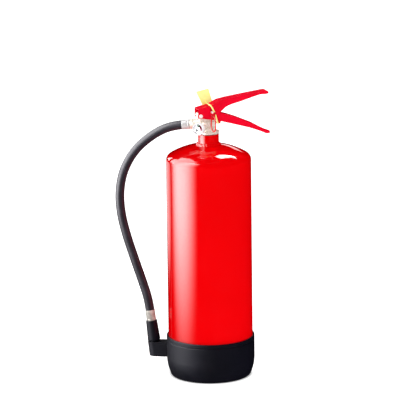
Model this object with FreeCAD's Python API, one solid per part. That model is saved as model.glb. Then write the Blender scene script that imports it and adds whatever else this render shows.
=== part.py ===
import FreeCAD, Part
import math
import os

# Portable stored-pressure fire extinguisher, in millimetres.
# Origin: centre of the foot's underside. +Z up the cylinder, +X towards the tips of the two levers,
# -Y the side with the safety pin's ring and the pressure gauge. The hose hangs in one upright plane,
# turned HOSE_SIDE degrees from +X.

V = FreeCAD.Vector
X_DIR, Y_DIR, Z_DIR = V(1, 0, 0), V(0, 1, 0), V(0, 0, 1)

# ---- driving dimensions ----
SHELL_R = 80.0          # outside radius of the pressure vessel
WALL = 1.6              # sheet thickness of vessel and dished ends
SHOULDER_Z = 415.0      # where the straight wall ends and the shoulder begins
KNUCKLE_R = 13.0        # shoulder radius
DOME_R = 145.0          # crown radius of the top dome
SHELL_FOOT_Z = 35.1     # lower rim of the straight wall, on the foot's ledge
NECK_R = 19.8           # outside radius of the welded neck
NECK_TOP_Z = 465.4
NECK_BORE_R = 15.0
CUP_R = 83.3            # outside radius of the plastic foot
CUP_LIP_Z = 76.5
FIT_GAP = 0.2           # clearance between pieces that are pushed together
FLANGE_R = 21.0         # hexagon flange of the valve body
FLANGE_Z = (466.6, 470.8)
BODY_R = 15.0           # valve body below the levers
BODY_FLAT_Y = 11.6      # half width across the flats at the body's top
HEAD_HALF = 8.0         # half width of the valve head between the handle's cheeks
HEAD_TOP_Z = 500.5
HOSE_SIDE = 154.1       # degrees from +X round to the hose, its outlet and the nozzle holder
OUTLET_Z = 485.6        # where the outlet's axis meets the valve's axis
OUTLET_DROP = 0.09      # fall of the outlet's axis per unit of reach
HOSE_D = 17.0
SHEET = 1.6             # steel sheet of both levers
HANDLE_HALF = 9.8       # outside half width of the carry handle
LEVER_HALF = 11.9       # outside half width of the operating lever
PIVOT = V(-17.7, 0, 501.8)              # hinge of the operating lever
PIVOT_R = 2.75
RIVET = V(9.0, 0, 495.2)                # second rivet, which fixes the handle
RIVET_R = 2.5
REAR_R = 4.6            # rounding of handle and valve head behind the pivot
RUN_GAP = 0.05          # radial running clearance of pins
SAFETY_X, SAFETY_Z = 3.9, 508.4
SAFETY_R = 1.5
STEM_R = 2.0
STEM_TOP_Z = 517.4
SEAT_Z = 462.0          # valve seat
LEVER_SWING = 11.0      # degrees that the lever travels
DIP_TUBE_R = 10.0
GAUGE_DIR = V(-math.sqrt(0.5), -math.sqrt(0.5), 0)
GAUGE_Z = 481.4
GAUGE_FACE = 42.0       # distance of the gauge's lens from the valve's axis
GAUGE_R = 11.5
DIAL_TILT = 52.0        # degrees that the dial is turned clockwise from upright
NEEDLE_OFFSET = 4.3     # needle hub's distance from the dial's centre

# Centre line of the hose, from the upper ferrule to the lower one.
HOSE_ROUTE = [
    (-39.4, 19.1, 481.7), (-62.7, 30.5, 479.3), (-93.9, 45.6, 462.3), (-125.2, 60.8, 432.6),
    (-145.5, 70.7, 394.3), (-153.7, 74.6, 353.4), (-152.5, 74.0, 312.4), (-144.0, 69.9, 269.7),
    (-130.9, 63.6, 223.8), (-117.0, 56.8, 177.7), (-106.5, 51.7, 140.5), (-104.3, 50.7, 120.6),
]
HOSE_TURN = math.radians(HOSE_SIDE)
OUTLET_DIR = V(math.cos(HOSE_TURN), math.sin(HOSE_TURN), -OUTLET_DROP).normalize()
HOSE_END = V(*HOSE_ROUTE[-1])
NOZZLE_DIR = (HOSE_END - V(*HOSE_ROUTE[-2])).normalize()    # nozzle and lower ferrule
ARC_SHARE = 0.45        # part of a run that each of its two bends may take
END_SHARE = 0.9         # the same for the first and the last run, which have one bend


# ---- helpers ----
def revolve(profile, base=V(0, 0, 0), direction=Z_DIR):
    """Turn a closed (radius, height) outline about Z, then lay its axis along direction at base.
    An entry with four numbers is an arc: through-point, then end point."""
    edges = []
    here = V(profile[0][0], 0, profile[0][1])
    for entry in list(profile[1:]) + [profile[0]]:
        end = V(entry[-2], 0, entry[-1])
        if len(entry) == 4:
            edges.append(Part.Arc(here, V(entry[0], 0, entry[1]), end).toShape())
        elif (end - here).Length > 1e-6:
            edges.append(Part.LineSegment(here, end).toShape())
        here = end
    solid = Part.Face(Part.Wire(edges)).revolve(V(0, 0, 0), Z_DIR, 360)
    return lay(solid, base, direction)


def lay(shape, base, direction):
    """Move a shape built along +Z so that its origin is at base and +Z points along direction."""
    turn = FreeCAD.Rotation(Z_DIR, direction)
    shape.Placement = FreeCAD.Placement(base, turn).multiply(shape.Placement)
    return shape


def cap(edge_r, edge_z, pole_z):
    """Through-point and end point of a ball-shaped cap, from its edge up to the axis."""
    centre_z = (edge_r ** 2 + edge_z ** 2 - pole_z ** 2) / (2 * (edge_z - pole_z))
    mid = edge_r / 2
    return (mid, centre_z + math.sqrt((pole_z - centre_z) ** 2 - mid ** 2), 0, pole_z)


def rod(radius, length, base, direction=Z_DIR):
    return Part.makeCylinder(radius, length, base, direction)


def tube(outer, inner, length, base, direction=Z_DIR):
    return rod(outer, length, base, direction).cut(rod(inner, length, base, direction))


def prism(points, half_width):
    """Extrude an (x, z) outline over the full width, symmetric about the XZ plane."""
    corners = [V(x, -half_width, z) for x, z in points]
    face = Part.Face(Part.makePolygon(corners + corners[:1]))
    return face.extrude(V(0, 2 * half_width, 0))


def slab(points, low_y, high_y):
    """Extrude an (x, z) outline from low_y to high_y."""
    corners = [V(x, low_y, z) for x, z in points]
    face = Part.Face(Part.makePolygon(corners + corners[:1]))
    return face.extrude(V(0, high_y - low_y, 0))


def hexagon(across_flats, length, base, direction=Z_DIR):
    radius = across_flats / math.sqrt(3)
    corners = [V(radius * math.cos(math.radians(a)), radius * math.sin(math.radians(a)), 0)
               for a in range(0, 361, 60)]
    return lay(Part.Face(Part.makePolygon(corners)).extrude(V(0, 0, length)), base, direction)


def offset_line(points, distance):
    """Shift an open (x, z) outline sideways, to its left for a positive distance."""
    shifted = []
    count = len(points)
    for i in range(count):
        normals = []
        for a, b in ((i - 1, i), (i, i + 1)):
            if a >= 0 and b < count:
                dx, dz = points[b][0] - points[a][0], points[b][1] - points[a][1]
                size = math.hypot(dx, dz)
                normals.append((-dz / size, dx / size))
        nx = sum(n[0] for n in normals) / len(normals)
        nz = sum(n[1] for n in normals) / len(normals)
        scale = distance / (nx * nx + nz * nz)
        shifted.append((points[i][0] + nx * scale, points[i][1] + nz * scale))
    return shifted


# ---- pressure vessel ----
def dished_end(rim_r, knuckle, crown):
    """Outline of a dished end, as (radius, height above the plane where its knuckle begins):
    the crown's centre height, the tangent point of knuckle and crown, and the knuckle's middle."""
    centre_x = rim_r - knuckle
    drop = math.sqrt((crown - knuckle) ** 2 - centre_x ** 2)
    angle = math.atan2(drop, centre_x)
    tangent = (crown * math.cos(angle), crown * math.sin(angle) - drop)
    middle = (centre_x + knuckle * math.cos(angle / 2), knuckle * math.sin(angle / 2))
    return -drop, tangent, middle


def top_dome(skin):
    """Crown radius, crown centre height, tangent point and knuckle middle of the top dome's skin."""
    crown = DOME_R - skin
    centre, tangent, middle = dished_end(SHELL_R - skin, KNUCKLE_R - skin, crown)
    return (crown, SHOULDER_Z + centre, (tangent[0], SHOULDER_Z + tangent[1]),
            (middle[0], SHOULDER_Z + middle[1]))


def dome_arc(crown, centre_z, start_r, end_r):
    """Through-point and end point of the crown arc between two radii."""
    mid = (start_r + end_r) / 2
    return (mid, centre_z + math.sqrt(crown ** 2 - mid ** 2),
            end_r, centre_z + math.sqrt(crown ** 2 - end_r ** 2))


def cylinder_shell():
    crown, centre_z, tangent, middle = top_dome(0)
    crown_in, centre_in, tangent_in, middle_in = top_dome(WALL)
    hole = NECK_R + 0.02
    hole_in_z = centre_in + math.sqrt(crown_in ** 2 - hole ** 2)
    inner = SHELL_R - WALL
    return revolve([
        (SHELL_R, SHELL_FOOT_Z), (SHELL_R, SHOULDER_Z),
        (*middle, *tangent), dome_arc(crown, centre_z, tangent[0], hole),
        (hole, hole_in_z), dome_arc(crown_in, centre_in, hole, tangent_in[0]),
        (*middle_in, inner, SHOULDER_Z), (inner, SHELL_FOOT_Z)])


def bottom_dome():
    """Dished end, welded inside the lower rim, bulging down."""
    rim = SHELL_R - WALL - 0.05
    knuckle, crown, base_z, rim_z = 13.0, 200.0, 40.0, 50.0
    outline = []
    for skin in (0, WALL):
        centre, tangent, middle = dished_end(rim - skin, knuckle - skin, crown - skin)
        crown_mid = tangent[0] / 2
        crown_mid_z = centre + math.sqrt((crown - skin) ** 2 - crown_mid ** 2)
        outline.append({
            "pole": (0, base_z - centre - crown + skin), "tangent": (tangent[0], base_z - tangent[1]),
            "crown_mid": (crown_mid, base_z - crown_mid_z), "middle": (middle[0], base_z - middle[1]),
            "edge": (rim - skin, base_z), "top": (rim - skin, rim_z)})
    out, inn = outline
    return revolve([
        out["pole"], (*out["crown_mid"], *out["tangent"]), (*out["middle"], *out["edge"]), out["top"],
        inn["top"], inn["edge"], (*inn["middle"], *inn["tangent"]), (*inn["crown_mid"], *inn["pole"])])


def neck_collar():
    base_z = 438.0
    return revolve([
        (NECK_BORE_R, base_z), (NECK_R, base_z), (NECK_R, NECK_TOP_Z - 0.8),
        (NECK_R - 0.8, NECK_TOP_Z), (NECK_BORE_R + 0.8, NECK_TOP_Z), (NECK_BORE_R, NECK_TOP_Z - 0.8)])


def neck_weld():
    """Fillet weld between dome and neck."""
    crown, centre_z, _, _ = top_dome(0)
    outer = NECK_R + 4.2
    foot_z = centre_z + math.sqrt(crown ** 2 - outer ** 2) + 0.03
    inner = NECK_R + 0.03
    inner_z = centre_z + math.sqrt(crown ** 2 - inner ** 2) + 0.03
    return revolve([(inner, inner_z), dome_arc(crown, centre_z + 0.03, inner, outer),
                    (NECK_R + 2.6, foot_z + 3.3, inner, foot_z + 5.0)])


def powder_charge():
    """Extinguishing powder, settled round the dip tube."""
    outer = SHELL_R - 2 * WALL - 0.6
    bore = DIP_TUBE_R + FIT_GAP
    return revolve([(bore, 20), (40, 24), (outer - 12, 34), (outer, 50), (outer, 352), (bore, 352)])


# ---- plastic foot and nozzle holder ----
def base_cup():
    lip_in = SHELL_R + FIT_GAP
    cup = revolve([
        (0, 0), (72.8, 0), (75.3, 0.9, 76.5, 3.2), (81.0, 16.5, CUP_R, 34),
        (CUP_R, 67.6), (CUP_R - 0.8, 68.2), (CUP_R - 0.8, 69.6), (CUP_R, 70.2),
        (CUP_R, CUP_LIP_Z - 1.0), (CUP_R - 0.3, CUP_LIP_Z - 0.3, CUP_R - 1.0, CUP_LIP_Z),
        (lip_in + 0.4, CUP_LIP_Z), (lip_in, CUP_LIP_Z - 0.4), (lip_in, 35), (78.2, 35), (78.2, 30),
        (76.4, 16.5, 72.6, 4.2), (70.8, 2.6), (0, 2.6)])
    ribs = []
    for turn in range(0, 360, 45):
        rib = Part.makeBox(16.0, 2.0, 12.0, V(58.0, -1.0, 2.0))
        rib.rotate(V(0, 0, 0), Z_DIR, turn)
        ribs.append(rib)
    return cup.multiFuse(ribs).removeSplitter()


def nozzle_point(z):
    """Point on the nozzle's tilted axis at height z, with the hose's plane laid on the XZ plane."""
    place = HOSE_END + NOZZLE_DIR * ((z - HOSE_END.z) / NOZZLE_DIR.z)
    return V(-math.hypot(place.x, place.y), 0, z)


def holder_outline(z, radius, half_arm, x_end):
    """Plan outline of the holder: a round nose about the nozzle's axis that widens into the arm."""
    centre = nozzle_point(z)
    left = centre - X_DIR * radius
    upper, lower = centre + Y_DIR * radius, centre - Y_DIR * radius
    arm_up, arm_low = V(x_end, half_arm, z), V(x_end, -half_arm, z)
    return Part.Wire([
        Part.Arc(lower, left, upper).toShape(), Part.LineSegment(upper, arm_up).toShape(),
        Part.LineSegment(arm_up, arm_low).toShape(), Part.LineSegment(arm_low, lower).toShape()])


def nozzle_holder():
    """Socket for the nozzle on a short arm that is hollow from below."""
    low, high, inside = 32.0, 59.5, -70.0
    socket_r, mouth_r, mouth_depth = 8.7, 10.6, 4.0
    block = Part.makeLoft([holder_outline(low, 12.5, 12.9, inside), holder_outline(high, 12.4, 13.6, inside)],
                          True, True)
    up = (nozzle_point(high) - nozzle_point(low)).normalize()
    cuts = [
        rod(CUP_R + 0.1, 200, V(0, 0, -10)),
        rod(socket_r, 60, nozzle_point(low + 4.0), up),
        lay(Part.makeCone(socket_r, mouth_r + 1.0, mouth_depth + 2.0), nozzle_point(high - mouth_depth), up),
        rod(2.0, 20, nozzle_point(low - 10.0), up),                                     # drain
        Part.makeBox(9.5, 18.0, high - low - 3.5, V(-95.5, -9.0, low)),                 # hollow of the arm
    ]
    for cut in cuts:
        block = block.cut(cut)
    block.rotate(V(0, 0, 0), Z_DIR, HOSE_SIDE - 180)
    return block


# ---- valve ----
def on_outlet(distance):
    """Point on the hose outlet's axis, at that distance from the valve's axis."""
    return V(0, 0, OUTLET_Z) + OUTLET_DIR * distance


def round_rear(shape):
    """Round a piece's back about the pivot, so that the lever's back clears it at every angle."""
    box = Part.makeBox(20, 60, 60, PIVOT - V(20, 30, 30))
    return shape.cut(box.cut(rod(REAR_R, 60, PIVOT - Y_DIR * 30, Y_DIR)))


def valve_body():
    shank = revolve([(0, 440), (14.2, 440), (14.9, 441), (14.9, NECK_TOP_Z + 0.6),
                     (FLANGE_R - 3, NECK_TOP_Z + 0.6), (FLANGE_R - 3, FLANGE_Z[0]), (0, FLANGE_Z[0])])
    flange = hexagon(2 * FLANGE_R * math.cos(math.radians(30)) + 1.2, FLANGE_Z[1] - FLANGE_Z[0],
                     V(0, 0, FLANGE_Z[0]))
    flange = flange.common(revolve([(0, 460), (FLANGE_R, 460), (FLANGE_R, 480), (0, 480)]))
    waist = revolve([(0, FLANGE_Z[1]), (16.4, FLANGE_Z[1]), (BODY_R, FLANGE_Z[1] + 1.4),
                     (BODY_R, 488.2), (BODY_R - 1.2, 489.4), (0, 489.4)])
    for low_y in (BODY_FLAT_Y, -BODY_FLAT_Y - 20):
        waist = waist.cut(Part.makeBox(60, 20, 20, V(-30, low_y, 479.0)))
    head = round_rear(prism([(-25.0, 489.0), (12.6, 489.0), (12.6, 498.6), (10.7, HEAD_TOP_Z),
                             (-8.0, HEAD_TOP_Z), (-13.5, 506.2), (-25.0, 506.2)], HEAD_HALF))
    boss = rod(9.2, 17.0, on_outlet(10.0), OUTLET_DIR)
    boss_ring = rod(10.0, 2.4, on_outlet(24.6), OUTLET_DIR)
    port = rod(6.4, 11.0, GAUGE_DIR * 8.0 + V(0, 0, GAUGE_Z), GAUGE_DIR)
    body = shank.multiFuse([flange, waist, head, boss, boss_ring, port])
    cuts = [
        rod(7.6, SEAT_Z - 439.0, V(0, 0, 439.0)),              # lower chamber
        rod(4.6, 493.0 - SEAT_Z, V(0, 0, SEAT_Z)),             # flow chamber above the seat
        rod(5.6, 12.0, V(0, 0, 491.0)),                        # gland's bore
        rod(6.1, 8.0, on_outlet(19.6), OUTLET_DIR),            # hose thread
        rod(3.4, 27.0, on_outlet(0), OUTLET_DIR),              # outlet passage
        rod(3.1, 12.0, GAUGE_DIR * 7.2 + V(0, 0, GAUGE_Z), GAUGE_DIR),
        rod(3.6, 7.5, GAUGE_DIR * 11.6 + V(0, 0, GAUGE_Z), GAUGE_DIR),
        rod(PIVOT_R, 40, PIVOT - Y_DIR * 20, Y_DIR),
        rod(RIVET_R, 40, RIVET - Y_DIR * 20, Y_DIR),
    ]
    for cut in cuts:
        body = body.cut(cut)
    return body


def neck_seal():
    return revolve([(NECK_BORE_R + 1.4, NECK_TOP_Z + 0.0), (NECK_R - 0.9, NECK_TOP_Z + 0.0),
                    (NECK_R - 0.4, NECK_TOP_Z + 0.6, NECK_R - 0.9, NECK_TOP_Z + 1.2),
                    (FLANGE_R - 2.9, NECK_TOP_Z + 1.2), (FLANGE_R - 2.9, NECK_TOP_Z + 0.5),
                    (NECK_BORE_R + 1.4, NECK_TOP_Z + 0.5)])


def stem_gland():
    """Brass nut that guides the stem in the valve head."""
    return revolve([(STEM_R + RUN_GAP, 494.2), (5.55, 494.2), (5.55, HEAD_TOP_Z + 0.1),
                    (4.9, HEAD_TOP_Z + 0.8), (4.9, 503.6), (4.2, 504.3), (STEM_R + RUN_GAP, 504.3)])


def stem_ring():
    """O-ring under the gland, round the stem."""
    return revolve([(2.4, 491.9), (3.9, 491.2, 5.4, 491.9), (5.4, 493.4), (3.9, 494.1, 2.4, 493.4)])


def valve_stem():
    poppet_z = SEAT_Z - 0.1
    return revolve([
        (0, poppet_z - 7.6), (3.4, poppet_z - 7.6), (3.4, poppet_z - 5.0), (6.2, poppet_z - 5.0),
        (6.2, poppet_z - 2.0), (2.9, poppet_z - 2.0), (2.9, poppet_z + 0.4), (STEM_R, poppet_z + 1.4),
        (STEM_R, STEM_TOP_Z - 0.9), cap(STEM_R, STEM_TOP_Z - 0.9, STEM_TOP_Z)])


def stem_seal():
    return tube(6.2, 3.0, 1.9, V(0, 0, SEAT_Z - 2.05))


def valve_spring():
    """Helical spring that lifts the stem."""
    wire, coil, pitch, turns = 0.6, 5.3, 2.6, 4
    helix = Part.makeHelix(pitch, pitch * turns, coil)
    profile = Part.Wire(Part.makeCircle(wire, V(coil, 0, 0), V(0, 1, 0)))
    spring = Part.Wire(helix).makePipeShell([profile], True, True)
    spring.translate(V(0, 0, 445.2))
    return spring


def dip_tube_adapter():
    """Threaded plug that closes the valve's lower chamber, seats the spring and holds the dip tube."""
    return revolve([(4.3, 425.0), (7.9, 425.0), (7.9, 439.9), (7.5, 439.9), (7.5, 444.4), (4.3, 444.4)])


def dip_tube():
    inner = DIP_TUBE_R - 2.0
    return revolve([(inner, 24.0), (DIP_TUBE_R, 24.0), (DIP_TUBE_R, 439.0), (inner, 439.0)])


# ---- gauge ----
def on_gauge(distance, side=0.0, up=0.0):
    """Point in the gauge's frame: distance out from the valve's axis, sideways as seen, and up."""
    sideways = V(-GAUGE_DIR.y, GAUGE_DIR.x, 0)
    return GAUGE_DIR * distance + sideways * side + V(0, 0, GAUGE_Z + up)


def gauge_stem():
    stem = rod(3.5, 8.0, on_gauge(11.8), GAUGE_DIR)
    nut = hexagon(11.0, 5.0, on_gauge(19.2), GAUGE_DIR)
    shank = rod(3.5, 10.0, on_gauge(23.9), GAUGE_DIR)
    bore = rod(1.0, 30, on_gauge(10), GAUGE_DIR)
    return stem.multiFuse([nut, shank]).cut(bore).removeSplitter()


def gauge_case():
    case = revolve([
        (3.6, 0), (9.6, 0), (GAUGE_R - 0.6, 0.6, GAUGE_R, 2.2), (GAUGE_R, 7.0),
        (GAUGE_R - 0.2, 8.4, GAUGE_R - 1.2, 8.8), (GAUGE_R - 1.9, 8.8), (GAUGE_R - 1.9, 1.2),
        (3.6, 1.2)])
    return lay(case, on_gauge(GAUGE_FACE - 8.8), GAUGE_DIR)


def bourdon_tube():
    """Curved pressure tube behind the dial."""
    ring = Part.makeTorus(6.4, 0.9, V(0, 0, 0), Z_DIR, 0, 360, 280)
    leg = rod(0.9, 3.4, V(6.4, 0, 0), V(-1, 0, 0))
    return lay(ring.fuse(leg), on_gauge(GAUGE_FACE - 5.6), GAUGE_DIR)


def hub_point(distance):
    """Needle hub: off the dial's centre, opposite the scale."""
    turn = math.radians(DIAL_TILT)
    return on_gauge(distance, -NEEDLE_OFFSET * math.sin(turn), -NEEDLE_OFFSET * math.cos(turn))


def gauge_dial():
    dial = rod(GAUGE_R - 2.0, 0.5, on_gauge(GAUGE_FACE - 3.4), GAUGE_DIR)
    return dial.cut(rod(0.75, 4, hub_point(GAUGE_FACE - 5), GAUGE_DIR))


def gauge_needle():
    """Pointer on its spindle, lying along the start of the scale."""
    hub = rod(1.5, 0.6, hub_point(GAUGE_FACE - 2.5), GAUGE_DIR)
    spindle = rod(0.7, 1.8, hub_point(GAUGE_FACE - 4.2), GAUGE_DIR)
    sideways = V(-GAUGE_DIR.y, GAUGE_DIR.x, 0)
    lean = math.radians(DIAL_TILT - 40.0)
    ahead = sideways * math.sin(lean) + Z_DIR * math.cos(lean)
    across = sideways * math.cos(lean) - Z_DIR * math.sin(lean)
    root = hub_point(GAUGE_FACE - 2.35)
    corners = [root + across * 0.55 - ahead * 2.4, root - across * 0.55 - ahead * 2.4,
               root - across * 0.2 + ahead * 9.0, root + across * 0.2 + ahead * 9.0]
    blade = Part.Face(Part.makePolygon(corners + corners[:1])).extrude(GAUGE_DIR * 0.3)
    return hub.multiFuse([spindle, blade]).removeSplitter()


def gauge_lens():
    radius = GAUGE_R - 2.0
    lens = revolve([(0, 0), (radius, 0), (radius, 0.7), cap(radius, 0.7, 1.2)])
    return lay(lens, on_gauge(GAUGE_FACE - 1.3), GAUGE_DIR)


# ---- levers ----
LEVER_TOP = [(-22.6, 514.7), (5.0, 521.6), (19.2, 528.2), (36.0, 531.3),
             (75.0, 536.4), (112.5, 540.9), (118.6, 537.4)]
HANDLE_LOW = [(18.8, 490.4), (28.0, 487.6), (48.0, 481.9), (79.0, 472.6), (100.5, 464.4),
              (110.5, 459.5), (121.0, 458.6)]
LEVER_CHEEK = LEVER_TOP + [
    (118.6, 535.0), (106.7, 535.2), (98.5, 535.2), (80.0, 530.4), (61.5, 525.2), (45.0, 521.2),
    (37.0, 518.8), (31.5, 516.2), (26.0, 511.8), (21.3, 507.6), (15.0, 501.6), (8.0, 498.2),
    (-2.0, 496.6), (-22.6, 497.5)]
HANDLE_CHEEK = [(-21.0, 499.4), (-12.0, 496.2)] + HANDLE_LOW + [
    (121.0, 462.0), (111.9, 465.2), (101.5, 470.6), (86.0, 479.8), (55.0, 493.6), (38.0, 500.0),
    (29.0, 502.8), (19.5, 506.9), (9.5, 512.0), (0.0, 512.0), (-14.8, 505.9), (-17.7, 506.4),
    (-21.0, 505.0)]


def round_tip(shape, tip_x, half_width):
    """Cut a lever's end to a half round, seen from above."""
    box = shape.BoundBox
    height = box.ZLength + 2
    corner = V(tip_x - half_width, -half_width - 1, box.ZMin - 1)
    ends = Part.makeBox(half_width + 1, 2 * half_width + 2, height, corner)
    return shape.cut(ends.cut(rod(half_width, height, V(tip_x - half_width, 0, box.ZMin - 1))))


def tip_rim(outline, tip_x, half_width):
    """Rim that joins both cheeks round a lever's half-round end."""
    base = V(tip_x - half_width, 0, 400)
    ring = tube(half_width, half_width - SHEET, 200, base)
    front = Part.makeBox(half_width + 1, 2 * half_width + 2, 200, base - Y_DIR * (half_width + 1))
    return ring.common(front).common(prism(outline, half_width))


def channel(web_line, cheek, sheet, half_width, inside):
    """Pressed channel with a half-round, rimmed end: a web and two cheeks."""
    web = prism(web_line + offset_line(web_line, sheet)[::-1], half_width)
    tip_x = web_line[-1][0]
    body = web.multiFuse([slab(cheek, -half_width, -inside), slab(cheek, inside, half_width)])
    return round_tip(body, tip_x, half_width).fuse(tip_rim(cheek, tip_x, half_width)).removeSplitter()


def operating_lever():
    """Pressed channel, open below: web on top and two cheeks."""
    lever = channel(LEVER_TOP, LEVER_CHEEK, -SHEET, LEVER_HALF, LEVER_HALF - SHEET)
    lever = lever.cut(rod(PIVOT_R + RUN_GAP, 40, PIVOT - Y_DIR * 20, Y_DIR))
    return lever.cut(pin_slot())


def pin_slot():
    """Slot in the lever's cheeks that follows the safety pin while the lever swings."""
    radius = SAFETY_R + 0.25
    slot = rod(radius, 40, V(SAFETY_X, -20, SAFETY_Z), Y_DIR)
    arm = V(SAFETY_X, 0, SAFETY_Z) - PIVOT
    reach = arm.Length
    start = math.atan2(arm.z, arm.x)
    stops = [start + math.radians(LEVER_SWING + 0.6) * k / 6 for k in range(7)]
    places = [PIVOT + V(reach * math.cos(a), 0, reach * math.sin(a)) for a in stops]
    for here, there in zip(places, places[1:]):
        step = there - here
        side = V(-step.z, 0, step.x).normalize() * radius
        corners = [here + side, there + side, there - side, here - side]
        strip = Part.Face(Part.makePolygon(corners + corners[:1]))
        strip.translate(V(0, -20, 0))
        slot = slot.fuse(strip.extrude(V(0, 40, 0))).fuse(rod(radius, 40, there - Y_DIR * 20, Y_DIR))
    return slot


def carry_handle():
    """Pressed channel, open above: two cheeks grip the valve head, the web carries the hand."""
    lug = prism([(18.8, 490.9), (23.4, 489.9), (23.0, 485.6), (21.6, 484.0), (20.0, 484.0),
                 (18.8, 485.6)], 5.0)
    handle = channel(HANDLE_LOW, HANDLE_CHEEK, SHEET, HANDLE_HALF, HEAD_HALF + FIT_GAP)
    handle = round_rear(handle.fuse(lug).removeSplitter())
    handle = handle.cut(rod(PIVOT_R, 40, PIVOT - Y_DIR * 20, Y_DIR))
    handle = handle.cut(rod(RIVET_R, 40, RIVET - Y_DIR * 20, Y_DIR))
    return handle.cut(rod(SAFETY_R + RUN_GAP, 40, V(SAFETY_X, -20, SAFETY_Z), Y_DIR))


def pivot_pin():
    """Riveted pin through lever, handle and valve head."""
    half = LEVER_HALF + 0.3
    head = [(0, half), (3.7, half), (3.5, half + 1.1), (0, half + 1.5)]
    pin = rod(PIVOT_R - 0.01, 2 * half, PIVOT - Y_DIR * half, Y_DIR)
    heads = [revolve(head, PIVOT, Y_DIR), revolve(head, PIVOT, Y_DIR.negative())]
    return pin.multiFuse(heads).removeSplitter()


def handle_rivet():
    return rod(RIVET_R - 0.05, 2 * HANDLE_HALF, RIVET - Y_DIR * HANDLE_HALF, Y_DIR)


# ---- safety pin, ring and seal ----
TAB_Y = -27.6           # where the pin's tab and the ring hang, clear of the valve
TAB_HOLE_R = 2.5
TAB_DROP = 4.6          # tab hole below the pin's axis
TAB_SHIFT = -2.0        # tab hole behind the pin's axis
RING_R = 14.2           # centre line of the pull ring
RING_WIRE = 1.1


def ring_pivot():
    """Where the ring's wire hangs in the tab's hole."""
    return V(SAFETY_X + TAB_SHIFT, TAB_Y, SAFETY_Z - TAB_DROP - 0.8)


def safety_pin():
    """Pin with a stop collar and a punched tab that carries the ring."""
    shaft = rod(SAFETY_R, 15.5 - TAB_Y, V(SAFETY_X, TAB_Y, SAFETY_Z), Y_DIR)
    collar = rod(2.1, 1.0, V(SAFETY_X, -13.4, SAFETY_Z), Y_DIR)
    top = V(SAFETY_X, TAB_Y - 0.6, SAFETY_Z)
    hole = top + V(TAB_SHIFT, 0, -TAB_DROP)
    sides = [(hole.x - 2.8, hole.z), (top.x - 2.8, top.z), (top.x + 2.8, top.z), (hole.x + 2.8, hole.z)]
    tab = rod(4.0, 1.2, hole, Y_DIR).multiFuse([slab(sides, top.y, top.y + 1.2), rod(2.8, 1.2, top, Y_DIR)])
    pin = shaft.multiFuse([collar, tab]).removeSplitter()
    return pin.cut(rod(TAB_HOLE_R, 8, hole - Y_DIR * 3, Y_DIR))


def pull_ring():
    return Part.makeTorus(RING_R, RING_WIRE, ring_pivot() - Z_DIR * RING_R, X_DIR)


def strap_x(z):
    """The seal's strap leans: it crosses the lever further forward lower down."""
    return 1.6 + 0.43 * (523.0 - z)


def tamper_seal():
    """Thin strap looped round both levers, with a flat tag standing above them."""
    top, low, side, thick = 523.4, 488.6, LEVER_HALF + 1.7, 0.9
    half = 1.4

    def leaning(low_y, high_y, low_z, high_z):
        corners = [V(strap_x(low_z) - half, low_y, low_z), V(strap_x(low_z) + half, low_y, low_z),
                   V(strap_x(high_z) + half, low_y, high_z), V(strap_x(high_z) - half, low_y, high_z)]
        return Part.Face(Part.makePolygon(corners + corners[:1])).extrude(V(0, high_y - low_y, 0))

    loop = [leaning(-side, thick - side, low, top), leaning(side - thick, side, low, top),
            leaning(-side, side, top - thick, top), leaning(-side, side, low, low + thick)]
    tag = slab([(-4.6, 522.4), (8.6, 525.6), (1.2, 550.4), (-17.4, 546.0)], 3.6, 4.5)
    foot = slab([(strap_x(top) - half, top - thick), (strap_x(top) + half, top - thick),
                 (4.0, 525.6), (-1.0, 524.0)], 3.6, 4.5)
    return loop[0].multiFuse(loop[1:] + [tag, foot]).removeSplitter()


# ---- hose ----
def hose_nipple():
    """Brass fitting: thread in the valve outlet, hexagon, and a tail inside the hose ferrule."""
    body = revolve([(3.2, 0), (6.0, 0), (6.0, 8.2), (3.2, 8.2)])
    nut = hexagon(18.0, 6.0, V(0, 0, 8.0))
    nut = nut.common(revolve([(0, 8.0), (9.4, 8.0), (10.0, 8.6), (10.0, 13.4), (9.4, 14.0), (0, 14.0)]))
    tail = revolve([(3.2, 13.8), (6.6, 13.8), (6.6, 14.2), (5.0, 14.2), (5.0, 23.6), (3.2, 23.6)])
    bore = rod(3.2, 40.0, V(0, 0, -1))
    return lay(body.multiFuse([nut, tail]).cut(bore).removeSplitter(), on_outlet(20.0), OUTLET_DIR)


def hose_ferrule_top():
    """Sleeve at the outlet; the hose's end sits in its mouth."""
    mouth = HOSE_D / 2 + 0.05
    body = revolve([(5.1, 0), (8.6, 0), (9.2, 0.8), (9.2, 3.0), (8.8, 3.4), (8.8, 4.4), (9.2, 4.8),
                    (9.2, 14.0), (8.9, 14.6), (mouth, 14.6), (mouth, 8.8), (5.1, 8.8)])
    return lay(body, on_outlet(35.0), OUTLET_DIR)


def hose_wire(route):
    """Straight runs joined by tangent arcs; prints each bend's radius."""
    points = [V(*p) for p in route]
    bends = list(zip(points, points[1:], points[2:]))
    edges = []
    radii = []
    here = points[0]
    for number, (before, corner, after) in enumerate(bends):
        inward, outward = (corner - before), (after - corner)
        turn = inward.getAngle(outward)
        share_in = END_SHARE if number == 0 else ARC_SHARE
        share_out = END_SHARE if number == len(bends) - 1 else ARC_SHARE
        reach = min(share_in * inward.Length, share_out * outward.Length)
        radii.append(reach / math.tan(turn / 2))
        inward.normalize()
        outward.normalize()
        start, end = corner - inward * reach, corner + outward * reach
        bisector = (outward - inward).normalize()
        to_centre = radii[-1] / math.cos(turn / 2)
        middle = corner + bisector * (to_centre - radii[-1])
        edges.append(Part.LineSegment(here, start).toShape())
        edges.append(Part.Arc(start, middle, end).toShape())
        here = end
    edges.append(Part.LineSegment(here, points[-1]).toShape())
    print("hose bend radii", [round(r) for r in radii])
    return Part.Wire(edges)


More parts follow.
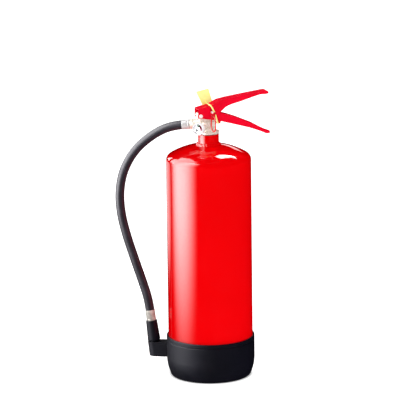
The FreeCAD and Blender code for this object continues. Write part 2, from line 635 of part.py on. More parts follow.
def hose():
    path = hose_wire(HOSE_ROUTE)
    start, ahead = V(*HOSE_ROUTE[0]), V(*HOSE_ROUTE[1])
    profile = Part.Wire(Part.makeCircle(HOSE_D / 2, start, ahead - start))
    solid = path.makePipeShell([profile], True, True)
    expected = math.pi * (HOSE_D / 2) ** 2 * path.Length
    print("hose length", round(path.Length, 1), "volume ratio", round(solid.Volume / expected, 4))
    return solid


def hose_ferrule_bottom():
    body = revolve([(4.1, 0.1), (8.6, 0.1), (9.1, 0.8), (9.1, 19.4), (8.6, 20.4), (4.1, 20.4)])
    return lay(body, HOSE_END, NOZZLE_DIR)


def nozzle_insert():
    """Tube that joins the lower ferrule and the nozzle."""
    body = revolve([(2.6, 0.4), (4.0, 0.4), (4.0, 32.0), (2.6, 32.0)])
    return lay(body, HOSE_END, NOZZLE_DIR)


def nozzle():
    """Tapered discharge nozzle: widest at the shoulder that rests on the holder, with a slim tip."""
    body = revolve([
        (4.1, 20.6), (9.9, 20.6), (10.6, 21.3), (11.9, 55.6), (11.9, 58.2), (10.8, 59.2), (8.3, 59.6),
        (7.4, 82.0), (6.6, 83.0), (1.9, 83.0), (1.9, 60.0), (2.6, 32.4), (4.1, 32.4)])
    return lay(body, HOSE_END, NOZZLE_DIR)


PARTS = [
    cylinder_shell, bottom_dome, neck_collar, neck_weld, powder_charge, base_cup, nozzle_holder,
    valve_body, neck_seal, stem_gland, stem_ring, valve_stem, stem_seal, valve_spring,
    dip_tube_adapter, dip_tube, gauge_stem, gauge_case, bourdon_tube, gauge_dial, gauge_needle,
    gauge_lens, operating_lever, carry_handle, pivot_pin, handle_rivet, safety_pin, pull_ring,
    tamper_seal, hose_nipple, hose_ferrule_top, hose, hose_ferrule_bottom, nozzle_insert, nozzle,
]


def main():
    os.makedirs("parts", exist_ok=True)
    for make in PARTS:
        shape = make()
        if not shape.isValid() or shape.Volume <= 0 or len(shape.Solids) != 1:
            print("CHECK", make.__name__, shape.isValid(), round(shape.Volume, 1), len(shape.Solids))
        shape.exportStep("parts/" + make.__name__ + ".step")


main()
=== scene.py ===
import bpy, math
from mathutils import Matrix, Vector


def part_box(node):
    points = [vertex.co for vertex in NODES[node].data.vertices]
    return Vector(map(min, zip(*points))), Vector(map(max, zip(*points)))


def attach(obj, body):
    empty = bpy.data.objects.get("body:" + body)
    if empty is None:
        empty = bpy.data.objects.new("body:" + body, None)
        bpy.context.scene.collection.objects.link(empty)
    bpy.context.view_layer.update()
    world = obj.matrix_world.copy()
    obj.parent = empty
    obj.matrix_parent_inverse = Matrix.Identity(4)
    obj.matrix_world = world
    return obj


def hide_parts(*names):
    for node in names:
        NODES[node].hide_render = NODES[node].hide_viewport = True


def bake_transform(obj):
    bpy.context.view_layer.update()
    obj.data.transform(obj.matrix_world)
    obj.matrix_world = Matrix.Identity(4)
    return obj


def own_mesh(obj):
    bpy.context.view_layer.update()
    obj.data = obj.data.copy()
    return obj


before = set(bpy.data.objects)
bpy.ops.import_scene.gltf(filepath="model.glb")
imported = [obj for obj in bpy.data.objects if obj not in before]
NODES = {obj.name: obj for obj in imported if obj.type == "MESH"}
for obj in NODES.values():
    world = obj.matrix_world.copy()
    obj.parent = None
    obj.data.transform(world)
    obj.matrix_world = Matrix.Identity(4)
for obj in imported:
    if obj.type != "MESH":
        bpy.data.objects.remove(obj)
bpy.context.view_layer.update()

scene = bpy.context.scene
scene.view_settings.view_transform = "Standard"


# ---- camera: 17 degrees to the left of the front, looking down a little ----
def place_camera(at, aim, roll_degrees, lens):
    at, aim = Vector(at), Vector(aim)
    ahead = (aim - at).normalized()
    right = ahead.cross(Vector((0, 0, 1))).normalized()
    up = right.cross(ahead)
    roll = math.radians(roll_degrees)
    right, up = right * math.cos(roll) - up * math.sin(roll), right * math.sin(roll) + up * math.cos(roll)
    data = bpy.data.cameras.new("camera")
    data.lens = lens
    data.sensor_width = 36
    data.clip_end = 100
    camera = bpy.data.objects.new("camera", data)
    camera.matrix_world = Matrix.Translation(at) @ Matrix((right, up, -ahead)).transposed().to_4x4()
    scene.collection.objects.link(camera)
    scene.camera = camera


CAMERA_AT = (-1.9004, -6.2160, 1.88995)
CAMERA_AIM = (-0.016243, 0.004966, 0.337555)
CAMERA_ROLL = 0.7015    # degrees
CAMERA_LENS = 319.9     # mm
place_camera(CAMERA_AT, CAMERA_AIM, CAMERA_ROLL, CAMERA_LENS)


# ---- mesh helpers ----
def add_object(name, mesh, body, material):
    obj = bpy.data.objects.new(name, mesh)
    scene.collection.objects.link(obj)
    mesh.materials.append(material)
    if body:
        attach(obj, body)
    return obj


def mesh_from(name, verts, faces, smooth=True):
    mesh = bpy.data.meshes.new(name)
    mesh.from_pydata([tuple(v) for v in verts], [], faces)
    mesh.update()
    if smooth:
        mesh.shade_smooth()
    return mesh


def nurbs_line(name, points, resolution=24):
    """Points along the NURBS spline that has these control points."""
    curve = bpy.data.curves.new(name, "CURVE")
    curve.dimensions = "3D"
    spline = curve.splines.new("NURBS")
    spline.points.add(len(points) - 1)
    for point, place in zip(spline.points, points):
        point.co = (*place, 1)
    spline.order_u = 3
    spline.use_endpoint_u = True
    spline.resolution_u = resolution
    holder = bpy.data.objects.new(name, curve)
    scene.collection.objects.link(holder)
    bpy.context.view_layer.update()
    line = bpy.data.meshes.new_from_object(holder)
    found = [v.co.copy() for v in line.vertices]
    bpy.data.objects.remove(holder)
    bpy.data.meshes.remove(line)
    return found


def frames_along(line, side_hint):
    """A side and an up vector at each point of a line, turning as little as possible."""
    frames = []
    side = Vector(side_hint)
    for i in range(len(line)):
        ahead = (line[min(i + 1, len(line) - 1)] - line[max(i - 1, 0)]).normalized()
        side = (side - ahead * side.dot(ahead)).normalized()
        frames.append((side, ahead.cross(side)))
    return frames


def sweep(line, radius, sides, side_hint=(0, 1, 0)):
    """Closed round tube along a line."""
    verts, faces = [], []
    rings = len(line)
    for point, (side, up) in zip(line, frames_along(line, side_hint)):
        for k in range(sides):
            turn = 2 * math.pi * k / sides
            verts.append(point + side * math.cos(turn) * radius + up * math.sin(turn) * radius)
    for i in range(rings - 1):
        for k in range(sides):
            j = (k + 1) % sides
            faces.append((i * sides + k, i * sides + j, (i + 1) * sides + j, (i + 1) * sides + k))
    faces.append(tuple(range(sides))[::-1])
    faces.append(tuple((rings - 1) * sides + k for k in range(sides)))
    return verts, faces


def lathe(name, outline, base=(0, 0, 0), direction=(0, 0, 1), sides=96, shape=None):
    """Turn a closed (radius, height) outline, in mm, about an axis. shape, if given, takes the angle, the
    number of the outline's point and its radius, and gives the radius that is used."""
    turn = Vector((0, 0, 1)).rotation_difference(Vector(direction).normalized())
    verts, faces = [], []
    count = len(outline)
    for k in range(sides):
        angle = 2 * math.pi * k / sides
        for j, (r, h) in enumerate(outline):
            r = shape(angle, j, r) if shape else r
            point = Vector((r * math.cos(angle), r * math.sin(angle), h)) / 1000
            verts.append(Vector(base) + turn @ point)
    for k in range(sides):
        here, there = k * count, (k + 1) % sides * count
        for j in range(count):
            i = (j + 1) % count
            faces.append((here + j, there + j, there + i, here + i))
    return mesh_from(name, verts, faces)


# a strip's section with its corners cut, in shares of its half width and half thickness
STRIP_SECTION = [(-1, -0.6), (-0.85, -1), (0.85, -1), (1, -0.6), (1, 0.6), (0.85, 1), (-0.85, 1), (-1, 0.6)]


def band(line, outer, width, thick):
    """Closed flat strip along a line; its face looks towards outer, a second line beside the first."""
    verts, faces = [], []
    count = len(STRIP_SECTION)
    for i, point in enumerate(line):
        ahead = (line[min(i + 1, len(line) - 1)] - line[max(i - 1, 0)]).normalized()
        up = outer[i] - point
        up = (up - ahead * up.dot(ahead)).normalized()
        side = up.cross(ahead)
        for across, through in STRIP_SECTION:
            verts.append(point + side * (across * width / 2) + up * (through * thick / 2))
    for i in range(len(line) - 1):
        here, there = i * count, (i + 1) * count
        for k in range(count):
            j = (k + 1) % count
            faces.append((here + k, here + j, there + j, there + k))
    faces.append(tuple(range(count))[::-1])
    faces.append(tuple(len(verts) - count + k for k in range(count)))
    return verts, faces


def plate(outline, normal, thick):
    """Flat plate: an outline of points, thickened along the normal."""
    count = len(outline)
    verts = [Vector(p) for p in outline] + [Vector(p) + Vector(normal) * thick for p in outline]
    faces = [tuple(range(count))[::-1], tuple(range(count, 2 * count))]
    faces += [(k, (k + 1) % count, count + (k + 1) % count, count + k) for k in range(count)]
    return verts, faces


# ---- materials ----
NOISE_LOW, NOISE_HIGH = 0.3, 0.7    # most of a noise's values lie between these
WEAR_SCALE = 60.0                   # noise scale of the changes in roughness


def new_material(name):
    material = bpy.data.materials.new(name)
    material.use_nodes = True
    tree = material.node_tree
    return material, tree.nodes, tree.links, tree.nodes["Principled BSDF"]


def set_range(node, source, target):
    """Set a Map Range node: the two ends that it takes in and the two that it gives out."""
    node.inputs["From Min"].default_value, node.inputs["From Max"].default_value = source
    node.inputs["To Min"].default_value, node.inputs["To Max"].default_value = target


def surface(name, dark, light, patch, rough, grain=0.0, grain_scale=2000.0, edge=0.0, metallic=0.0,
            specular=0.5):
    """Material with cloudy colour between two tones, cloudy roughness, a fine grain and softened edges.
    patch and grain_scale are noise scales, grain and edge are sizes in metres."""
    material, nodes, links, shader = new_material(name)
    coords = nodes.new("ShaderNodeTexCoord")
    cloud = nodes.new("ShaderNodeTexNoise")
    cloud.inputs["Scale"].default_value = patch
    cloud.inputs["Detail"].default_value = 5
    links.new(coords.outputs["Object"], cloud.inputs["Vector"])
    tones = nodes.new("ShaderNodeValToRGB")
    for stop, position, tone in zip(tones.color_ramp.elements, (NOISE_LOW, NOISE_HIGH), (dark, light)):
        stop.position = position
        stop.color = (*tone, 1)
    links.new(cloud.outputs["Fac"], tones.inputs["Fac"])
    links.new(tones.outputs["Color"], shader.inputs["Base Color"])
    wear = nodes.new("ShaderNodeTexNoise")
    wear.inputs["Scale"].default_value = WEAR_SCALE
    wear.inputs["Detail"].default_value = 6
    links.new(coords.outputs["Object"], wear.inputs["Vector"])
    spread = nodes.new("ShaderNodeMapRange")
    set_range(spread, (NOISE_LOW, NOISE_HIGH), rough)
    links.new(wear.outputs["Fac"], spread.inputs["Value"])
    links.new(spread.outputs["Result"], shader.inputs["Roughness"])
    normal = None
    if edge:
        soft = nodes.new("ShaderNodeBevel")
        soft.samples = 4
        soft.inputs["Radius"].default_value = edge
        normal = soft.outputs["Normal"]
    if grain:
        fine = nodes.new("ShaderNodeTexNoise")
        fine.inputs["Scale"].default_value = grain_scale
        fine.inputs["Detail"].default_value = 3
        links.new(coords.outputs["Object"], fine.inputs["Vector"])
        bump = nodes.new("ShaderNodeBump")
        bump.inputs["Strength"].default_value = 1.0
        bump.inputs["Distance"].default_value = grain
        links.new(fine.outputs["Fac"], bump.inputs["Height"])
        if normal:
            links.new(normal, bump.inputs["Normal"])
        normal = bump.outputs["Normal"]
    if normal:
        links.new(normal, shader.inputs["Normal"])
    shader.inputs["Metallic"].default_value = metallic
    shader.inputs["Specular IOR Level"].default_value = specular
    return material


RED = surface("red_enamel", (0.74, 0.0, 0.001), (0.82, 0.0, 0.002), patch=4, rough=(0.05, 0.075),
              grain=0.000004, grain_scale=300, edge=0.0005)
LEVER_RED = surface("lever_enamel", (0.73, 0.0, 0.016), (0.83, 0.0, 0.022), patch=25, rough=(0.3, 0.4),
                    grain=0.00001, grain_scale=500, edge=0.0006, specular=0.04)
CUP_BLACK = surface("moulded_black", (0.003, 0.003, 0.007), (0.005, 0.0045, 0.011), patch=12,
                    rough=(0.42, 0.5), grain=0.00003, grain_scale=1200, edge=0.0006, specular=0.18)
RUBBER = surface("hose_rubber", (0.012, 0.01, 0.017), (0.02, 0.017, 0.027), patch=60, rough=(0.36, 0.46),
                 grain=0.00004, grain_scale=900, specular=0.4)
# nickel plating: the cream tone is the plating's own; its mottle from dull tan to near white paints its
# highlights and dark reflections
NICKEL_PAINTED_SHEEN = surface("nickel_plating_painted_sheen", (0.62, 0.53, 0.41), (1.0, 0.99, 0.92), patch=420, rough=(0.34, 0.5),
                 grain=0.00002, grain_scale=1500, edge=0.0005, metallic=0.12)
ALUMINIUM = surface("ferrule_aluminium", (0.42, 0.42, 0.42), (0.68, 0.69, 0.69), patch=120,
                    rough=(0.34, 0.44), grain=0.00001, grain_scale=2500, edge=0.0003, metallic=0.08,
                    specular=0.3)
# the upper ferrule's aluminium made darker for the lower ferrule: painted shade
ALUMINIUM_SHADED = surface("aluminium_painted_shade", (0.3, 0.28, 0.25), (0.56, 0.53, 0.49), patch=120, rough=(0.34, 0.44),
                 grain=0.00001, grain_scale=2500, edge=0.0003, metallic=0.08, specular=0.3)
STEEL = surface("zinc_steel", (0.92, 0.8, 0.79), (1.0, 0.94, 0.93), patch=150, rough=(0.25, 0.38),
                grain=0.00001, grain_scale=2500, edge=0.0003, metallic=0.05)
BRASS = surface("turned_brass", (0.62, 0.43, 0.18), (0.78, 0.57, 0.27), patch=150, rough=(0.22, 0.34),
                grain=0.00001, grain_scale=2500, edge=0.0002, metallic=0.5)
SEAL = surface("seal_rubber", (0.012, 0.012, 0.013), (0.02, 0.02, 0.02), patch=200, rough=(0.5, 0.6),
               grain=0.00002)
WHITE = surface("white_plastic", (0.8, 0.79, 0.81), (0.88, 0.87, 0.89), patch=120, rough=(0.3, 0.4),
                grain=0.000008, edge=0.0005, specular=0.05)
DIAL = surface("dial_face", (0.6, 0.59, 0.62), (0.68, 0.67, 0.7), patch=200, rough=(0.4, 0.5), specular=0.05)
NEEDLE = surface("needle_paint", (0.01, 0.01, 0.012), (0.02, 0.02, 0.024), patch=300, rough=(0.4, 0.5),
                 specular=0.1)
DIP = surface("dip_tube_plastic", (0.62, 0.63, 0.6), (0.72, 0.73, 0.7), patch=60, rough=(0.35, 0.45))
POWDER = surface("powder", (0.55, 0.6, 0.68), (0.68, 0.72, 0.78), patch=80, rough=(0.85, 0.95), grain=0.0003,
                 grain_scale=900)
SCALE_GREEN = surface("scale_green", (0.004, 0.03, 0.012), (0.006, 0.04, 0.016), patch=300, rough=(0.4, 0.5),
                      specular=0.1)
SCALE_RED = surface("scale_maroon", (0.07, 0.001, 0.007), (0.09, 0.002, 0.01), patch=300, rough=(0.4, 0.5),
                    specular=0.1)


def clear_plastic(name, colour, rough):
    """Clear sheet with a faint cloudy roughness."""
    material, nodes, links, shader = new_material(name)
    coords = nodes.new("ShaderNodeTexCoord")
    haze = nodes.new("ShaderNodeTexNoise")
    haze.inputs["Scale"].default_value = 150
    links.new(coords.outputs["Object"], haze.inputs["Vector"])
    spread = nodes.new("ShaderNodeMapRange")
    set_range(spread, (0.0, 1.0), rough)
    links.new(haze.outputs["Fac"], spread.inputs["Value"])
    links.new(spread.outputs["Result"], shader.inputs["Roughness"])
    shader.inputs["Base Color"].default_value = (*colour, 1)
    shader.inputs["Transmission Weight"].default_value = 1.0
    shader.inputs["IOR"].default_value = 1.1        # thin sheet: bends and mirrors little
    return material


def tint_below_y(material, limit, colour):
    """Give a material another colour where the object's own Y is below the limit."""
    nodes, links = material.node_tree.nodes, material.node_tree.links
    shader = nodes["Principled BSDF"]
    split = nodes.new("ShaderNodeSeparateXYZ")
    links.new(nodes.new("ShaderNodeTexCoord").outputs["Object"], split.inputs["Vector"])
    below = nodes.new("ShaderNodeMath")
    below.operation = "LESS_THAN"
    below.inputs[1].default_value = limit
    links.new(split.outputs["Y"], below.inputs[0])
    mix = nodes.new("ShaderNodeMix")
    mix.data_type = "RGBA"
    links.new(below.outputs["Value"], mix.inputs["Factor"])
    links.new(shader.inputs["Base Color"].links[0].from_socket, mix.inputs["A"])
    mix.inputs["B"].default_value = (*colour, 1)
    links.new(mix.outputs["Result"], shader.inputs["Base Color"])


PIN_PAINT_Y = -0.0262       # the pin's tab, in front of this, is painted
PIN_PAINT = (0.7, 0.0, 0.006)
PIN_STEEL = surface("pin_steel", (0.84, 0.76, 0.74), (0.96, 0.9, 0.88), patch=150, rough=(0.25, 0.38),
                    grain=0.00001, grain_scale=2500, edge=0.0002, metallic=0.2)
tint_below_y(PIN_STEEL, PIN_PAINT_Y, PIN_PAINT)
LENS = clear_plastic("lens_plastic", (0.97, 0.97, 0.97), (0.0, 0.03))
TAG = surface("seal_tag", (0.98, 0.95, 0.26), (1.0, 0.98, 0.36), patch=90, rough=(0.3, 0.4), grain=0.00001)

FINISHES = {
    RED: "cylinder_shell bottom_dome neck_collar neck_weld pull_ring",
    LEVER_RED: "operating_lever carry_handle handle_rivet",
    CUP_BLACK: "base_cup nozzle_holder nozzle",
    RUBBER: "hose",
    NICKEL_PAINTED_SHEEN: "valve_body hose_nipple gauge_stem",
    ALUMINIUM: "hose_ferrule_top",
    ALUMINIUM_SHADED: "hose_ferrule_bottom",
    STEEL: "pivot_pin valve_spring valve_stem nozzle_insert",
    PIN_STEEL: "safety_pin",
    BRASS: "stem_gland dip_tube_adapter bourdon_tube",
    SEAL: "neck_seal stem_seal stem_ring",
    WHITE: "gauge_case",
    DIAL: "gauge_dial",
    NEEDLE: "gauge_needle",
    LENS: "gauge_lens",
    DIP: "dip_tube",
    TAG: "tamper_seal",
    POWDER: "powder_charge",
}
for finish, names in FINISHES.items():
    for node in names.split():
        mesh = NODES[node].data
        mesh.materials.clear()
        mesh.materials.append(finish)
NODES["operating_lever"].visible_glossy = False     # its reflection would cut the shoulder's highlight


# ---- valve spring ----
SPRING_FOOT = 0.4446
SPRING_TOP = 0.4562
SPRING_WIRE = 0.0006    # radius of the wire
SPRING_COIL = 0.0053    # radius of the coil, to the wire's middle
SPRING_TURNS = 4
SPRING_STEPS = 36       # points per turn

coil_line = []
for step in range(SPRING_TURNS * SPRING_STEPS + 1):
    turn = 2 * math.pi * step / SPRING_STEPS
    climb = (SPRING_TOP - SPRING_FOOT - 2 * SPRING_WIRE) * step / (SPRING_TURNS * SPRING_STEPS)
    height = SPRING_FOOT + SPRING_WIRE + climb
    coil_line.append(Vector((SPRING_COIL * math.cos(turn), SPRING_COIL * math.sin(turn), height)))
spring_mesh = mesh_from("spring_coil", *sweep(coil_line, SPRING_WIRE, sides=12, side_hint=(1, 0, 0)))
spring = add_object("spring_coil", spring_mesh, "vessel", STEEL)
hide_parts("valve_spring")
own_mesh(spring)


# ---- hose and its ferrules ----
HOSE_ROUTE = [
    (-0.0394, 0.0191, 0.4817), (-0.0627, 0.0305, 0.4793), (-0.0939, 0.0456, 0.4623),
    (-0.1252, 0.0608, 0.4326), (-0.1455, 0.0707, 0.3943), (-0.1537, 0.0746, 0.3534),
    (-0.1525, 0.0740, 0.3124), (-0.1440, 0.0699, 0.2697), (-0.1309, 0.0636, 0.2238),
    (-0.1170, 0.0568, 0.1777), (-0.1065, 0.0517, 0.1405), (-0.1043, 0.0507, 0.1206),
]
START, END = Vector(HOSE_ROUTE[0]), Vector(HOSE_ROUTE[-1])
OUTWARD = (Vector(HOSE_ROUTE[1]) - START).normalized()
DOWNWARD = (END - Vector(HOSE_ROUTE[-2])).normalized()
HOSE_RADIUS = 0.0085
CRIMPS = 8              # flats that the crimping dies leave round a ferrule
CRIMP_DEPTH = 0.2       # mm
TOP_SLEEVE_BACK = 0.009     # how far the upper ferrule reaches back from the hose's end


def crimped(first, last):
    """Shape for lathe: a sleeve that is crimped between two points of its outline."""
    def shape(angle, number, radius):
        if not first <= number <= last:
            return radius
        return radius - CRIMP_DEPTH * (1 - abs(math.cos(angle * CRIMPS / 2)) ** 0.4)
    return shape


hose_line = nurbs_line("hose_line", HOSE_ROUTE)
hose_mesh = mesh_from("hose_tube", *sweep(hose_line, HOSE_RADIUS, sides=48))
hose = add_object("hose_tube", hose_mesh, None, RUBBER)
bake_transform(hose)
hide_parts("hose")

top_sleeve = [(5.1, 0), (8.6, 0), (9.0, 0.15), (9.2, 0.6), (9.2, 2.8), (8.75, 3.2), (8.75, 4.2), (9.2, 4.6),
              (9.2, 5.4), (9.2, 6.4), (9.2, 9.4), (9.2, 12.4), (9.2, 13.2), (9.15, 14.2), (8.9, 14.6),
              (8.55, 14.6), (8.55, 8.8), (5.1, 8.8)]
top_base = START - OUTWARD * TOP_SLEEVE_BACK
top_mesh = lathe("ferrule_top", top_sleeve, top_base, OUTWARD, shape=crimped(9, 11))
ferrule_top = add_object("ferrule_top", top_mesh, "vessel", ALUMINIUM)
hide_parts("hose_ferrule_top")
low_sleeve = [(4.1, 0.1), (8.6, 0.1), (9.0, 0.35), (9.1, 0.8), (9.1, 2.2), (9.1, 3.4), (9.1, 8.0),
              (9.1, 13.0), (9.1, 14.2), (9.1, 15.4), (8.7, 15.8), (8.7, 16.8), (9.1, 17.2), (9.1, 19.4),
              (9.0, 20.0), (8.6, 20.4), (4.1, 20.4)]
low_mesh = lathe("ferrule_low", low_sleeve, END, DOWNWARD, shape=crimped(5, 7))
ferrule_low = add_object("ferrule_low", low_mesh, "nozzle_end", ALUMINIUM_SHADED)
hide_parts("hose_ferrule_bottom")


# ---- weld bead round the neck ----
WELD_LOW, WELD_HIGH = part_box("neck_weld")
WELD_SIDES = 368
RIPPLES = 24
RIPPLE_DEPTH = 0.75     # mm
RIPPLE_DRIFT = 0.2      # mm, how much the bead's size wanders
RIPPLE_LEAN = 0.9       # how far each point of the outline is turned on in the wave, in radians
RIPPLE_UNEVEN = 0.8     # how far the ripples stray from even spacing, in radians of the wave
SUNK_POINTS = (0, 1, 7)     # points of the outline that lie inside the neck or the dome


def weld_ripple(angle, number, radius):
    if number in SUNK_POINTS:
        return radius
    wave = 0.5 - 0.5 * math.cos(RIPPLES * angle + RIPPLE_LEAN * number + RIPPLE_UNEVEN * math.sin(3 * angle))
    return radius - RIPPLE_DEPTH * wave - RIPPLE_DRIFT * (1 + math.sin(5 * angle + number))


weld_foot = WELD_LOW[2] * 1000
weld_top = WELD_HIGH[2] * 1000
weld_outline = [(19.7, weld_foot + 0.2), (23.4, weld_foot - 0.3), (24.1, weld_foot + 0.3),
                (23.8, weld_foot + 1.5), (23.0, weld_foot + 2.7), (21.9, weld_foot + 3.9),
                (20.7, weld_top - 0.5), (19.7, weld_top - 0.05)]
weld_mesh = lathe("weld_bead", weld_outline, sides=WELD_SIDES, shape=weld_ripple)
weld = add_object("weld_bead", weld_mesh, "vessel", RED)
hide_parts("neck_weld")


# ---- tamper seal: strap and tag ----
STRAP_SIDE = 0.0132     # the strap's distance from the middle plane, beside the levers
BELOW_X = 0.0168        # the strap's lower run, clear of the valve body
BELOW_Z = 0.4850
STRAP_WIDTH = 0.0028
STRAP_THICK = 0.0009
OUTER_STEP = 0.005      # how far outside the strap the line is that its face looks to
# (x, z) down one side of the levers
near_side = [(-0.0015, 0.5232), (0.0008, 0.5218), (0.0048, 0.5158), (0.0085, 0.5075), (0.0115, 0.4985),
             (0.0138, 0.4895), (0.0150, 0.4872)]
# points of the strap, each with the direction that its face looks in
strap_route = [((-0.0030, 0.0040, 0.5236), (0, 0, 1)), ((-0.0022, -0.0060, 0.5236), (0, 0, 1))]
strap_route += [((x, -STRAP_SIDE, z), (0, -1, 0)) for x, z in near_side]
strap_route += [((BELOW_X, y, BELOW_Z), (0, 0, -1)) for y in (-0.0118, 0.0, 0.0118)]
strap_route += [((x, STRAP_SIDE, z), (0, 1, 0)) for x, z in near_side[::-1]]
strap_route += [((-0.0022, 0.0110, 0.5238), (0, 0, 1)), ((-0.0030, 0.0046, 0.5238), (0, 0, 1))]
strap_points = [Vector(point) for point, _ in strap_route]
outer_points = [Vector(point) + Vector(out) * OUTER_STEP for point, out in strap_route]
strap_line = nurbs_line("strap_line", strap_points, 8)
strap_outer = nurbs_line("strap_outer", outer_points, 8)
strap_mesh = mesh_from("seal_strap", *band(strap_line, strap_outer, STRAP_WIDTH, STRAP_THICK))
strap = add_object("seal_strap", strap_mesh, "vessel", TAG)


def rounded(corners, radius, steps=5):
    """Corners of an (x, z) outline, rounded."""
    points = []
    for k, corner in enumerate(corners):
        corner = Vector(corner)
        to_last = (Vector(corners[k - 1]) - corner).normalized() * radius
        to_next = (Vector(corners[(k + 1) % len(corners)]) - corner).normalized() * radius
        for j in range(steps + 1):
            t = j / steps
            points.append(corner + to_last * (1 - t) ** 2 + to_next * t ** 2)
    return points


TAG_CORNERS = [(-0.0094, 0.5194), (0.0096, 0.5262), (0.0024, 0.5503), (-0.0216, 0.5458)]    # (x, z)
TAG_ROUND = 0.0014
TAG_FRONT_Y = 0.0036
TAG_THICK = 0.0009
TAG_RIM = 0.0012
TAG_DENT = 0.0002


def tag_sheet(front_y, thick, rim, dent):
    """The tag: a rounded plate, both its faces dented inside a rim."""
    outline = rounded(TAG_CORNERS, TAG_ROUND)
    middle = sum(outline, Vector((0, 0))) / len(outline)
    inner = [p + (middle - p).normalized() * rim for p in outline]
    count = len(outline)
    verts, faces = [], []
    for side in (-1, 1):
        face_y = front_y + (thick if side == 1 else 0)
        first = len(verts)
        verts += [(p.x, face_y, p.y) for p in outline]
        verts += [(p.x, face_y - side * dent, p.y) for p in inner]
        verts.append((middle.x, face_y - side * dent, middle.y))
        for k in range(count):
            j = (k + 1) % count
            for face in ((k, j, count + j, count + k), (count + k, count + j, 2 * count)):
                faces.append(tuple(first + v for v in face[::side]))
    for k in range(count):
        j = (k + 1) % count
        faces.append((j, k, 2 * count + 1 + k, 2 * count + 1 + j))
    return mesh_from("seal_flag", verts, faces, smooth=False)


tag_mesh = tag_sheet(TAG_FRONT_Y, TAG_THICK, TAG_RIM, TAG_DENT)
flag = add_object("seal_flag", tag_mesh, "vessel", TAG)
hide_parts("tamper_seal")
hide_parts("tamper_seal")


# ---- gauge scale ----
GAUGE_OUT = Vector((-math.sqrt(0.5), -math.sqrt(0.5), 0))
GAUGE_SIDE = Vector((math.sqrt(0.5), -math.sqrt(0.5), 0))
UPRIGHT = Vector((0, 0, 1))
DIAL_LOW, DIAL_HIGH = (Vector(c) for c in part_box("gauge_dial"))
DIAL_MIDDLE = (DIAL_LOW + DIAL_HIGH) / 2
DIAL_TILT = math.radians(52)    # lean of the line from the needle's hub through the dial's middle
HUB_OFFSET = 0.0043     # the needle's hub from the dial's middle
DIAL_FRONT = 0.00027    # from the dial plate's middle to its printed face
INK_THICK = 0.00012
ZONE_INNER = 0.0079     # the zones' inner radius about the hub
MARK_INNER, MARK_OUTER = 0.0068, 0.0077
MARK_HALF = 0.7         # half a mark's width, in degrees


def on_dial(radius, lean):
    """Point on the dial's face, at that distance from the needle's hub; lean is in degrees from upright."""
    lean = math.radians(lean)
    through = GAUGE_SIDE * math.sin(DIAL_TILT) + UPRIGHT * math.cos(DIAL_TILT)
    toward = GAUGE_SIDE * math.sin(lean) + UPRIGHT * math.cos(lean)
    hub = DIAL_MIDDLE - through * HUB_OFFSET
    return hub + GAUGE_OUT * DIAL_FRONT + toward * radius


def scale_piece(name, material, inner, outer, first, last, steps=10):
    """Part of a ring printed on the dial, between two radii and two leans about the needle's hub."""
    stops = [first + (last - first) * k / steps for k in range(steps + 1)]
    outline = [on_dial(outer, lean) for lean in stops] + [on_dial(inner, lean) for lean in stops[::-1]]
    mesh = mesh_from(name, *plate(outline, GAUGE_OUT, INK_THICK), smooth=False)
    add_object(name, mesh, "vessel", material)


scale_piece("scale_working", SCALE_GREEN, ZONE_INNER, 0.0120, 8, 38)
scale_piece("scale_high", SCALE_RED, ZONE_INNER, 0.0124, 38.5, 92)
for mark, lean in enumerate((9, 38, 64, 91)):
    first, last = lean - MARK_HALF, lean + MARK_HALF
    scale_piece("scale_mark_%d" % mark, NEEDLE, MARK_INNER, MARK_OUTER, first, last, steps=2)
NEEDLE_LOW, NEEDLE_HIGH = (Vector(c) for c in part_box("gauge_needle"))
NEEDLE_LIFT = ((NEEDLE_LOW + NEEDLE_HIGH) / 2 - DIAL_MIDDLE).dot(GAUGE_OUT)     # needle above the dial plate
hub_cap = [(0.02, -0.3), (2.0, -0.3), (2.2, -0.15), (2.2, 0.15), (1.9, 0.4), (0.02, 0.5)]
hub_base = on_dial(0, 0) + GAUGE_OUT * (NEEDLE_LIFT - DIAL_FRONT)
hub_mesh = lathe("needle_hub", hub_cap, hub_base, GAUGE_OUT, sides=40)
add_object("needle_hub", hub_mesh, "needle", NEEDLE)


# ---- studio ----
FLOOR_HALF = 15
FLOOR_Z = -0.0003       # a hair under the foot
GLOW = 0.75
PAINTED_SHADE_REACH, GLOW_REACH = 0.070, 0.083   # distances from the axis where the glow starts and is full; the glowless ring inside is painted contact shade
FADE_CORE = 0.02        # share of a fading light's width, each way from its middle, that stays full
FADE_SIDES = 0.02       # share of its strength that is left at its sides


def floor():
    """Pale ground that glows, so that it takes little shadow; close to the foot its glow is taken away,
    which paints a dark contact shade there on top of the real shadow.
    """
    corners = [(x * FLOOR_HALF, y * FLOOR_HALF, FLOOR_Z) for x, y in ((-1, -1), (1, -1), (1, 1), (-1, 1))]
    mesh = mesh_from("floor", corners, [(0, 1, 2, 3)])
    material, nodes, links, shader = new_material("floor_white")
    shader.inputs["Base Color"].default_value = (0.9, 0.9, 0.9, 1)
    shader.inputs["Roughness"].default_value = 0.9
    shader.inputs["Specular IOR Level"].default_value = 0
    shader.inputs["Emission Color"].default_value = (1, 1, 1, 1)
    place = nodes.new("ShaderNodeTexCoord")
    reach = nodes.new("ShaderNodeVectorMath")
    reach.operation = "LENGTH"
    links.new(place.outputs["Object"], reach.inputs[0])
    # glow from none near the foot (painted contact shade) to full further out
    glow = nodes.new("ShaderNodeMapRange")
    glow.interpolation_type = "SMOOTHSTEP"
    set_range(glow, (PAINTED_SHADE_REACH, GLOW_REACH), (0.0, GLOW))
    links.new(reach.outputs["Value"], glow.inputs["Value"])
    links.new(glow.outputs["Result"], shader.inputs["Emission Strength"])
    obj = bpy.data.objects.new("floor", mesh)
    mesh.materials.append(material)
    scene.collection.objects.link(obj)
    obj.visible_glossy = False


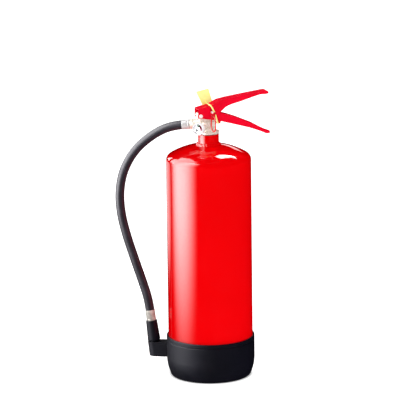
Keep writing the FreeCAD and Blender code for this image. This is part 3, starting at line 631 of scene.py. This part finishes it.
def softbox(name, at, aim, width, height, radiance, glossy=True, diffuse=True, fade=None, along=None):
    """Rectangular light, its width level or parallel to along. fade, if given, is (reach, low, high, dim):
    the light falls off from its middle to its sides within reach, a share of its half width, and from full
    at share high of its height to dim at share low."""
    data = bpy.data.lights.new(name, "AREA")
    data.shape = "RECTANGLE"
    data.size, data.size_y = width, height
    data.energy = radiance * math.pi * width * height
    if fade:
        reach, low, high, dim = fade
        data.use_nodes = True
        nodes, links = data.node_tree.nodes, data.node_tree.links
        geometry = nodes.new("ShaderNodeNewGeometry")
        place = nodes.new("ShaderNodeSeparateXYZ")
        links.new(geometry.outputs["Parametric"], place.inputs["Vector"])
        middle = nodes.new("ShaderNodeMath")
        middle.operation = "SUBTRACT"
        middle.inputs[1].default_value = 0.5
        links.new(place.outputs["X"], middle.inputs[0])
        away = nodes.new("ShaderNodeMath")
        away.operation = "ABSOLUTE"
        links.new(middle.outputs["Value"], away.inputs[0])
        across = nodes.new("ShaderNodeMapRange")
        across.interpolation_type = "SMOOTHSTEP"
        set_range(across, (FADE_CORE, reach / 2), (1, FADE_SIDES))
        links.new(away.outputs["Value"], across.inputs["Value"])
        upward = nodes.new("ShaderNodeMapRange")
        upward.interpolation_type = "SMOOTHSTEP"
        set_range(upward, (low, high), (dim, 1))
        links.new(place.outputs["Y"], upward.inputs["Value"])
        both = nodes.new("ShaderNodeMath")
        both.operation = "MULTIPLY"
        links.new(across.outputs["Result"], both.inputs[0])
        links.new(upward.outputs["Result"], both.inputs[1])
        links.new(both.outputs["Value"], nodes["Emission"].inputs["Strength"])
    obj = bpy.data.objects.new(name, data)
    at, aim = Vector(at), Vector(aim)
    obj.location = at
    obj.rotation_mode = "QUATERNION"
    back = (at - aim).normalized()
    if along:
        side = (Vector(along) - back * back.dot(Vector(along))).normalized()
        obj.rotation_quaternion = Matrix((side, back.cross(side), back)).transposed().to_quaternion()
    else:
        obj.rotation_quaternion = back.to_track_quat("Z", "Y")
    scene.collection.objects.link(obj)
    obj.visible_camera = False
    obj.visible_glossy = glossy
    obj.visible_diffuse = diffuse


floor()
WORLD_LIGHT = 0.7
world = bpy.data.worlds.new("studio")
world.use_nodes = True
world.node_tree.nodes["Background"].inputs["Color"].default_value = (1, 1, 1, 1)
world.node_tree.nodes["Background"].inputs["Strength"].default_value = WORLD_LIGHT
scene.world = world
world.cycles_visibility.glossy = False      # only the lights are mirrored, not the surroundings

# name, place, aim, width, height, radiance
softbox("left_box", (-1.298, 0.070, 1.60), (0, 0, 1.60), 2.6, 4.0, 14.0, diffuse=False,
        fade=(1.0, 0.009, 0.126, 0.02))
softbox("left_rim_box", (-0.639, 1.841, -0.08), (0, 0, -0.08), 1.78, 0.56, 1.5, diffuse=False,
        fade=(1.5, 0.0, 0.36, 0.0))
softbox("upper_left_box", (-0.871, 1.229, 2.80), (-0.04, -0.02, 2.80), 1.18, 4.5, 6.0, diffuse=False)
softbox("right_rim_box", (0.882, 1.742, 0.863), (0, 0, 0.43), 0.47, 0.16, 2.2, diffuse=False,
        along=(0.150, -0.105, 0.149))
softbox("shoulder_box", (0.819, 0.931, 1.975), (0.019, -0.058, 0.432), 0.72, 0.25, 16.0, diffuse=False,
        along=(-0.273, -0.154, 0.24))
softbox("key", (-1.6, -2.2, 2.2), (0, 0, 0.3), 1.2, 1.2, 3.0, glossy=False)
softbox("top_fill", (0.1, 0.1, 2.6), (0, 0, 0.5), 1.4, 1.4, 3.4, glossy=False)
